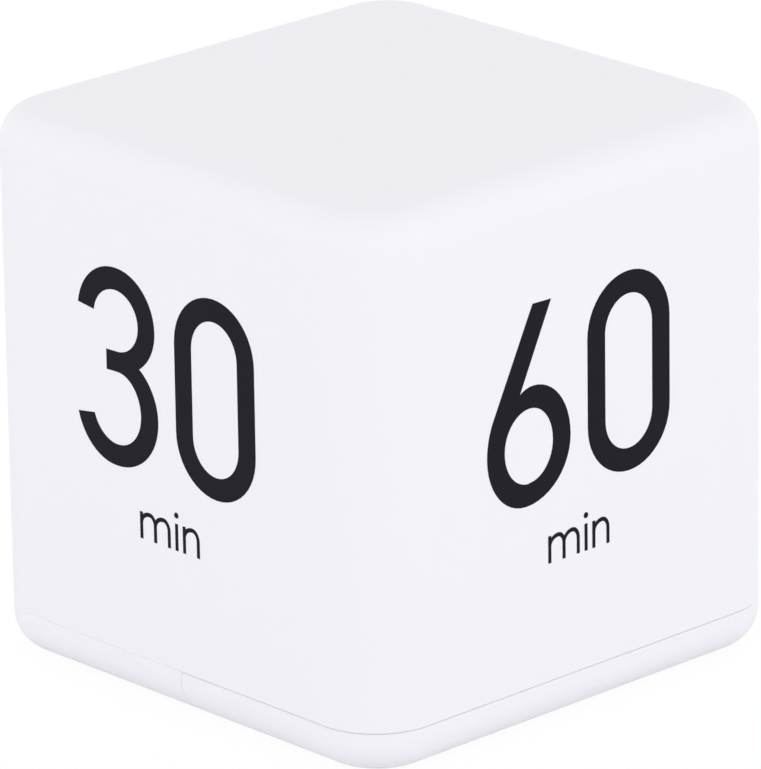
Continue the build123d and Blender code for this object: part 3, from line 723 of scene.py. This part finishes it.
class CUBE_OT_mark_underside(Operator):
    """Draw the display's unlit segments and the words beside the switch"""

    bl_idname = "cube.mark_underside"
    bl_label = "Mark the underside"

    def execute(self, context):
        sizes = context.scene.cube_underside
        colours = context.scene.cube_colours
        # Liquid crystal at rest: the segments are only slightly darker than the glass round them
        unlit = finish("Unlit_segments", colours.segment, 0.32, grain=4, spread=0.04)
        high, wide, stroke = sizes.digit_height / MM, sizes.digit_width / MM, sizes.segment / MM
        room = stroke / 10
        marks = []
        for digit in (-1.5, -0.5, 0.5, 1.5):
            # The two pairs stand half a stroke further out, for the colon between them
            left = digit * sizes.digit_pitch / MM - wide / 2 + math.copysign(stroke / 2, digit)
            low, right = left + stroke / 2, left + wide - stroke / 2
            for level in (-1, 0, 1):
                y = level * (high - stroke) / 2
                marks.append(bar((low + room, y), (right - room, y), stroke))
                if level:
                    for x in (low, right):
                        marks.append(bar((x, level * room), (x, y - level * room), stroke))
        for y in (-high / 5, high / 5):
            marks += rounds((0, y), stroke / 2)
        mesh = plate(marks, sizes.film, steps=4)
        panel, half = box_of("lcd_panel")
        slant = Matrix(((1, DISPLAY_SLANT, 0), (0, 1, 0), (0, 0, 1))).to_4x4()
        at = read_from_below(panel.x, panel.y, panel.z - half.z + sizes.film / 2)
        place("display_segments", [moved(mesh, at @ slant)], unlit)

        # Grey pad-printing ink: matt, quiet beside the white shell
        matt = {"Specular IOR Level": 0.2}
        ink = finish("Grey_print_ink", colours.letters, 0.5, grain=0.2, bump=0.001, **matt)
        switch, _ = box_of("switch_body")
        words = []
        for text, side in (("OFF", -1), ("ON", 1)):
            x = switch.x + side * sizes.letter_spread
            at = read_from_below(x, switch.y - sizes.letter_row, CAD_BOX[0].z + sizes.film / 2)
            words.append(moved(word_mesh(text, sizes.letter_height, sizes.film), at))
        place("switch_words", words, ink)
        return {"FINISHED"}


class CUBE_OT_mark_cells(Operator):
    """Put the pale band, the signs and the steel ends on the two cells"""

    bl_idname = "cube.mark_cells"
    bl_label = "Mark the cells"

    def execute(self, context):
        sizes = context.scene.cube_underside
        colours = context.scene.cube_colours
        # Silver print under the film's gloss: pale and slightly clouded
        band = finish("Silver_cell_print", colours.jacket_band, 0.3, ior=1.57, grain=1.5, other="BFC2C8")
        # The jacket's own dark print, for the sign on the silver
        dark = finish("Dark_cell_print", colours.jacket, 0.3, ior=1.57, grain=1.5, other="343A42")
        # Nickel-plated steel ends of the cell: bright, with faint turning marks
        ends = finish("Nickelled_cell_end", "CFCFCD", 0.25, metallic=1.0, grain=0.4, spread=0.06)
        film = sizes.film
        thin = film / 2
        for number, side in ((1, 1), (2, -1)):
            centre, half = box_of(f"battery_cell_{number}")
            radius, top, base = half.x, half.y, -half.y
            shoulder = top - sizes.nub
            at = Matrix.Translation(centre) @ Matrix.Rotation(math.radians(-90 * side), 4, "X")
            high = shoulder - sizes.band_start
            low = high - sizes.band_width
            inner, outer = radius - thin, radius + thin
            sleeve = lathe([(inner, low), (outer, low), (outer, high), (inner, high)], at)
            put(f"cell_band_{number}", sleeve, band)
            flat = radius - sizes.rim
            face = shoulder + thin
            nub = sizes.nub_radius + thin
            soft = nub / 10
            button = [(0, top + thin), (nub - soft, top + thin), (nub, top - soft), (nub, face), (flat, face)]
            button += [(flat, shoulder - thin), (0, shoulder - thin)]
            cup = [(0, base - thin), (flat, base - thin), (flat, base + thin), (0, base + thin)]
            place(f"cell_ends_{number}", [lathe(button, at), lathe(cup, at)], ends)
            for name, plus, height, ink in (
                ("plus", True, (low + high) / 2, dark),
                ("minus", False, base + sizes.band_width / 2, band),
            ):
                mesh = plate([sign_outline(sizes.sign / MM, plus)], film, steps=1)
                spot = centre + Vector((0, side * height, 0))
                wrap_on_cell(mesh, spot, outer - thin / 2 if plus else radius - thin)
                put(f"cell_{name}_{number}", mesh, ink)
        return {"FINISHED"}


# Steps of the resin dome's profile, and the power by which it falls towards its edge
DOME_STEPS = 12
DOME_FALL = 2.8


class CUBE_OT_round_pieces(Operator):
    """Stand round balls and a domed blob for the flat-sided ball and the plain blob of the frame"""

    bl_idname = "cube.round_pieces"
    bl_label = "Round the balls and the blob"

    def execute(self, context):
        # Ground bearing steel: mirror-bright with a trace of grinding haze
        steel = finish("Ground_bearing_steel", "C9CACC", 0.12, metallic=1.0, grain=0.8, spread=0.03)
        radius = context.scene.cube_board.ball
        for number in (1, 2, 3, 4):
            node = f"tilt_ball_{number}"
            centre, _ = box_of(node)
            at = Matrix.Translation(centre)
            bm = bmesh.new()
            bmesh.ops.create_uvsphere(bm, u_segments=32, v_segments=16, radius=radius, matrix=at)
            mesh = mesh_of(bm)
            mesh.shade_smooth()
            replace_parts(put(f"round_ball_{number}", mesh, steel, node), node)
        centre, half = box_of("timer_chip")
        profile = [(0, -half.z), (half.x, -half.z)]
        for step in range(1, DOME_STEPS):
            share = 1 - step / DOME_STEPS
            profile.append((half.x * share, half.z * (1 - 2 * share**DOME_FALL)))
        profile.append((0, half.z))
        mesh = lathe(profile, Matrix.Translation(centre))
        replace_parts(put("resin_dome", mesh, bpy.data.materials["Black_epoxy"]), "timer_chip")
        return {"FINISHED"}


# Tracks on the main board: the points that each follows, in millimetres
TRACKS = (
    ((-21.1, 20.5), (-21.1, 0.5), (-18.3, -2.3), (-17.3, -3.3)),
    ((-19.1, 20.5), (-19.1, 0.2), (-16.3, -2.6), (-16.3, -3.2)),
    ((-14.6, 1.5), (-14.9, 1.2), (-14.9, -2.6)),
    ((-13.6, 1.5), (-13.6, -2.6)),
    ((-14.6, 3.5), (-14.6, 6.9), (-16.0, 8.3), (-16.0, 22.0), (-18.0, 24.0), (-20.6, 24.0)),
    ((-13.6, 3.5), (-13.6, 7.9), (-12.2, 9.3), (-12.2, 12.6), (-9.6, 15.2), (-3.2, 15.2)),
    ((-9.1, 9.5), (-9.1, 6.2), (-12.3, 3.0), (-12.3, -2.9)),
    ((-7.1, 9.5), (-7.1, 11.3), (-3.2, 15.2)),
    ((-3.2, 20.2), (-2.5, 19.5), (-2.5, -4.6), (-4.6, -6.7), (-5.2, -6.7)),
    ((-7.0, -6.7), (-9.9, -6.7)),
    ((-21.2, -2.0), (-19.9, -3.3), (-18.9, -3.3), (-17.6, -4.6)),
    ((-22.2, -2.0), (-23.6, -3.4), (-23.6, -10.4), (-22.2, -11.8), (-19.4, -11.8), (-17.4, -9.8)),
    ((-17.7, -12.6), (-17.7, -11.9), (-16.6, -10.8), (-16.6, -10.0)),
    ((-15.3, -12.6), (-15.3, -10.6)),
    ((-12.9, -12.6), (-12.9, -10.6)),
    ((-10.5, -12.6), (-10.5, -11.9), (-11.6, -10.8), (-11.6, -10.0)),
    ((-17.7, -14.3), (-17.7, -16.6), (-20.3, -19.2), (-20.3, -25.4)),
    ((-15.3, -14.3), (-15.3, -18.2), (-18.3, -21.2), (-18.3, -25.4)),
    ((-12.9, -14.3), (-12.9, -18.6), (-10.1, -21.4), (-10.1, -25.4)),
    ((-10.5, -14.3), (-10.5, -17.4), (-8.1, -19.8), (-8.1, -25.4)),
)

# Signs printed on the board: place in millimetres, and whether it is a plus
BOARD_SIGNS = (((-5.3, 20.2), True), ((-5.3, 16.6), False), ((-6.1, -3.2), True))
BOARD_SIGN = 1.4

# The crystal's wires across X, and where they enter the board along Y
WIRE_ROWS = (-22.2 * MM, -21.2 * MM)
WIRE_FOOT = -2.0 * MM

# From a tilt switch's axis to each contact, from a contact's and a lead's side to its middle
PIN_SPREAD = 1.0 * MM
PIN_INSET = 0.25 * MM
LEAD_INSET = 0.45 * MM

# Solder cone from its edge to its top, as shares of its radius and height, and its growth round a lead
SOLDER_CONE = ((0.72, 0.35), (0.45, 1.0), (0.0, 1.0))
LEAD_SOLDER = 1.15

# Plated ends of the small parts: half their width, depth, stand over the part, and rounding
CAP_HALF = 0.4 * MM
CAP_DEPTH = 0.3 * MM
CAP_OVER = 0.03 * MM
CAP_ROUND = 0.05 * MM


class CUBE_OT_detail_board(Operator):
    """Lay tracks, solder, the crystal's wires and the printed outlines on the main board"""

    bl_idname = "cube.detail_board"
    bl_label = "Detail the board"

    def execute(self, context):
        sizes = context.scene.cube_board
        colours = context.scene.cube_colours
        board, half = box_of("main_board")
        top = board.z + half.z
        sheet = Matrix.Translation((0, 0, top - sizes.foil / 2))

        # Solder mask over copper: a lighter green that shows where the tracks run
        mask = finish("Mask_over_copper", colours.track, 0.33, ior=1.55, grain=0.6, bump=0.002)
        tracks = [plate([ribbon(points, sizes.track / MM)], sizes.foil, steps=1) for points in TRACKS]
        place("board_tracks", [moved(track, sheet) for track in tracks], mask)

        # Tin solder: bright grey cones that climb the wires, and the plated ends of the small parts
        solder = finish("Bright_solder", "CDCED1", 0.22, metallic=1.0, grain=0.5, spread=0.06)
        joints = []
        wires = self.crystal_wires(sizes, top)
        for (x, y), radius in self.feet(sizes):
            profile = [(0, -sizes.foil), (radius, -sizes.foil), (radius, sizes.foil)]
            profile += [(radius * out, sizes.solder_height * up) for out, up in SOLDER_CONE]
            joints.append(lathe(profile, Matrix.Translation((x, y, top)), 24))
        low, high = (Vector(corner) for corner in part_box("chip_resistors"))
        pitch = (high.x - low.x - 2 * CAP_HALF) / 3
        for step in range(4):
            x = low.x + CAP_HALF + step * pitch
            for y, side in ((low.y, -1), (high.y, 1)):
                joints.append(self.end_cap((x, y, top), side, high.z - top))
        place("board_solder", joints + wires, solder)

        # Screen-printed epoxy ink: flat white lines round the parts
        white = finish("White_board_print", colours.board_print, 0.6, grain=0.2, bump=0.001)
        line, margin = sizes.line / MM, sizes.margin / MM
        marks = []
        for node in ("tilt_can_1", "tilt_can_2", "tilt_can_3", "tilt_can_4", "quartz_crystal"):
            low, high = ([c / MM for c in corner[:2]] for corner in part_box(node))
            marks += box_line([c - margin for c in low], [c + margin for c in high], line)
        for node in ("timer_chip", "board_capacitor"):
            centre, half = box_of(node)
            marks += rounds((centre.x / MM, centre.y / MM), half.x / MM + margin + line, line)
        for centre, plus in BOARD_SIGNS:
            marks.append(sign_outline(BOARD_SIGN, plus, centre))
        mesh = plate(marks, sizes.foil)
        place("board_print", [moved(mesh, Matrix.Translation((0, 0, top)))], white)
        return {"FINISHED"}

    def feet(self, sizes):
        """Where wires meet the board, in metres, with the radius of the solder round each."""
        spots = []
        for number in (1, 2, 3, 4):
            can, _ = box_of(f"tilt_can_{number}")
            low, high = (Vector(corner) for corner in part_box(f"tilt_plug_{number}"))
            way = (low + high) / 2 - can
            axis = 0 if abs(way.x) > abs(way.y) else 1
            end = (high if way[axis] > 0 else low)[axis] - math.copysign(PIN_INSET, way[axis])
            for side in (-1, 1):
                spot = can.to_2d()
                spot[axis] = end
                spot[1 - axis] += side * PIN_SPREAD
                spots.append((spot, sizes.solder_radius if axis else sizes.small_radius))
        for node in ("lead_positive", "lead_negative"):
            low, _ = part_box(node)
            spots.append(((low[0] + LEAD_INSET, low[1] + LEAD_INSET), sizes.solder_radius * LEAD_SOLDER))
        return spots + [((x, WIRE_FOOT), sizes.small_radius) for x in WIRE_ROWS]

    def crystal_wires(self, sizes, top):
        """Two fine wires that leave the crystal's end and turn down into the board."""
        crystal, half = box_of("quartz_crystal")
        end = crystal.y + half.y
        tuck, straight, sink = 0.5 * MM, 0.8 * MM, 0.1 * MM
        spots = [(y, crystal.z) for y in (end - tuck, end + straight, WIRE_FOOT)]
        spots += [(WIRE_FOOT, top + tuck), (WIRE_FOOT, top - sink)]
        wires = []
        for x in WIRE_ROWS:
            curve = bpy.data.curves.new("wire", "CURVE")
            curve.dimensions = "3D"
            curve.bevel_depth = sizes.wire
            curve.bevel_resolution = 3
            curve.use_fill_caps = True
            spline = curve.splines.new("NURBS")
            spline.points.add(len(spots) - 1)
            for point, (y, z) in zip(spline.points, spots):
                point.co = (x, y, z, 1)
            spline.order_u = 3
            spline.use_endpoint_u = True
            wires.append(mesh_of_curve(curve))
        return wires

    def end_cap(self, spot, side, height):
        """Plated end of a small part: a thin rounded wrap over its end."""
        size = (2 * (CAP_HALF + CAP_OVER), CAP_DEPTH + CAP_OVER, height + CAP_OVER)
        centre = Vector(spot) + Vector((0, side * (CAP_OVER - CAP_DEPTH) / 2, size[2] / 2))
        bm = bmesh.new()
        made = bmesh.ops.create_cube(bm, size=1.0)["verts"]
        bmesh.ops.scale(bm, vec=size, verts=made)
        bmesh.ops.translate(bm, vec=centre, verts=made)
        bevel = {"offset_type": "OFFSET", "affect": "EDGES", "segments": 2, "profile": 0.5, "material": -1}
        bmesh.ops.bevel(bm, geom=bm.edges[:], offset=CAP_ROUND, **bevel)
        return mesh_of(bm)


WHITE = (1.0, 1.0, 1.0, 1.0)
SEEN_WHITE = 1.01  # the bare floor in the camera's eye, just over white
FLOOR_DROP = 0.1 * MM  # from the cube's underside to the floor, so that the two never share a plane


class CUBE_OT_set_stage(Operator):
    """Set the cube on a white floor, light it and place the camera"""

    bl_idname = "cube.set_stage"
    bl_label = "Set the stage"

    def execute(self, context):
        stage = context.scene.cube_stage
        middle = Vector((0, 0, SIDE / 2))
        back = self.way(stage.azimuth, stage.elevation)
        flat = (-back).cross(Vector((0, 0, 1))).normalized()
        rise = flat.cross(-back)
        right = flat * math.cos(stage.roll) + rise * math.sin(stage.roll)
        up = rise * math.cos(stage.roll) - flat * math.sin(stage.roll)
        spot = middle + back * stage.distance - right * stage.aside - up * stage.above
        data = bpy.data.cameras.new("Camera")
        data.lens = stage.focal_length
        data.sensor_width = 36.0
        data.clip_start = 10 * MM
        camera = add_object("Camera", data)
        camera.matrix_world = Matrix.Translation(spot) @ Matrix((right, up, back)).transposed().to_4x4()
        context.scene.camera = camera

        data = bpy.data.lights.new("Soft_lamp", "AREA")
        data.shape = "DISK"
        data.size = stage.lamp_size
        data.energy = stage.lamp_power
        lamp = add_object("Soft_lamp", data)
        way = self.way(stage.lamp_azimuth, stage.lamp_elevation)
        turned = way.to_track_quat("Z", "Y").to_matrix().to_4x4()
        lamp.matrix_world = Matrix.Translation(middle + way * stage.lamp_distance) @ turned

        world = bpy.data.worlds.new("White_room")
        context.scene.world = world
        world.use_nodes = True
        tree = world.node_tree
        tree.nodes.clear()
        seen = self.seen_rays(tree)
        coords = add_node(tree, "TexCoord")
        axes = add_node(tree, "SeparateXYZ", links={0: coords.outputs["Generated"]})
        ends = {"To Min": stage.sky_level, "To Max": stage.sky_above}
        fall = add_node(tree, "MapRange", ends, {"Value": axes.outputs["Z"]})
        either = {"Value": seen, "To Min": fall.outputs["Result"]}
        level = add_node(tree, "MapRange", {"To Max": 1.0}, either)
        sky = add_node(tree, "Background", {"Color": WHITE}, {"Strength": level.outputs["Result"]})
        add_node(tree, "OutputWorld", links={"Surface": sky.outputs["Background"]})

        # Matt studio floor: as the camera sees it, mostly its own white, so that only the soft shadow shows
        material, tree = new_material("Matt_studio_floor")
        seen = self.seen_rays(tree)
        sheets = []
        for white, strength in (
            (stage.floor, stage.floor_glow),
            ((stage.floor_shade,) * 3, SEEN_WHITE - stage.floor_shade),
        ):
            matt = add_node(tree, "BsdfDiffuse", {"Color": rgba(white)})
            glow = add_node(tree, "Emission", {"Color": WHITE, "Strength": strength})
            both = {0: matt.outputs["BSDF"], 1: glow.outputs["Emission"]}
            sheets.append(add_node(tree, "AddShader", links=both).outputs["Shader"])
        mix = add_node(tree, "MixShader", links={0: seen, 1: sheets[0], 2: sheets[1]})
        add_node(tree, "OutputMaterial", links={"Surface": mix.outputs["Shader"]})
        bm = bmesh.new()
        bmesh.ops.create_grid(bm, x_segments=1, y_segments=1, size=stage.floor_size / 2)
        mesh = mesh_of(bm)
        mesh.materials.append(material)
        floor = add_object("Floor", mesh)
        floor.location.z = CAD_BOX[0].z - FLOOR_DROP
        context.scene.view_settings.view_transform = "Standard"
        return {"FINISHED"}

    def way(self, azimuth, elevation):
        """Unit vector from the cube towards a point of the compass, where 0 is the side with 30."""
        level = math.cos(elevation)
        return Vector((math.sin(azimuth) * level, -math.cos(azimuth) * level, math.sin(elevation)))

    def seen_rays(self, tree):
        """1 for rays that show the background itself: straight, mirrored or through glass."""
        path = add_node(tree, "LightPath")
        seen = path.outputs["Is Camera Ray"]
        for ray in ("Is Glossy Ray", "Is Transmission Ray"):
            pair = {0: seen, 1: path.outputs[ray]}
            seen = add_node(tree, "Math", {"operation": "MAXIMUM"}, pair).outputs[0]
        return seen


class CUBE_PT_panel(Panel):
    """Lists the steps and sizes of the cube timer"""

    bl_label = "Cube timer"
    bl_idname = "CUBE_PT_panel"
    bl_space_type = "VIEW_3D"
    bl_region_type = "UI"
    bl_category = "Cube timer"

    def draw(self, context):
        column = self.layout.column(align=True)
        for step in STEPS:
            column.operator(step.bl_idname)
        for name in GROUPS:
            group = getattr(context.scene, name)
            box = self.layout.box()
            for key in group.__annotations__:
                box.prop(group, key)


STEPS = (
    CUBE_OT_finish_case,
    CUBE_OT_print_sides,
    CUBE_OT_finish_inside,
    CUBE_OT_mark_underside,
    CUBE_OT_mark_cells,
    CUBE_OT_round_pieces,
    CUBE_OT_detail_board,
    CUBE_OT_set_stage,
)
GROUPS = {
    "cube_print": CubePrint,
    "cube_underside": CubeUnderside,
    "cube_board": CubeBoard,
    "cube_colours": CubeColours,
    "cube_stage": CubeStage,
}
CLASSES = (*GROUPS.values(), *STEPS, CUBE_PT_panel)


def register():
    """Registers the classes and hangs the property groups on the scene."""
    for item in CLASSES:
        bpy.utils.register_class(item)
    for name, group in GROUPS.items():
        setattr(bpy.types.Scene, name, PointerProperty(type=group))


def unregister():
    """Takes the property groups and classes away again."""
    for name in GROUPS:
        delattr(bpy.types.Scene, name)
    for item in reversed(CLASSES):
        bpy.utils.unregister_class(item)


def main():
    """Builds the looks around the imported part."""
    register()
    for step in STEPS:
        group, name = step.bl_idname.split(".")
        getattr(getattr(bpy.ops, group), name)()


if __name__ == "__main__":
    main()
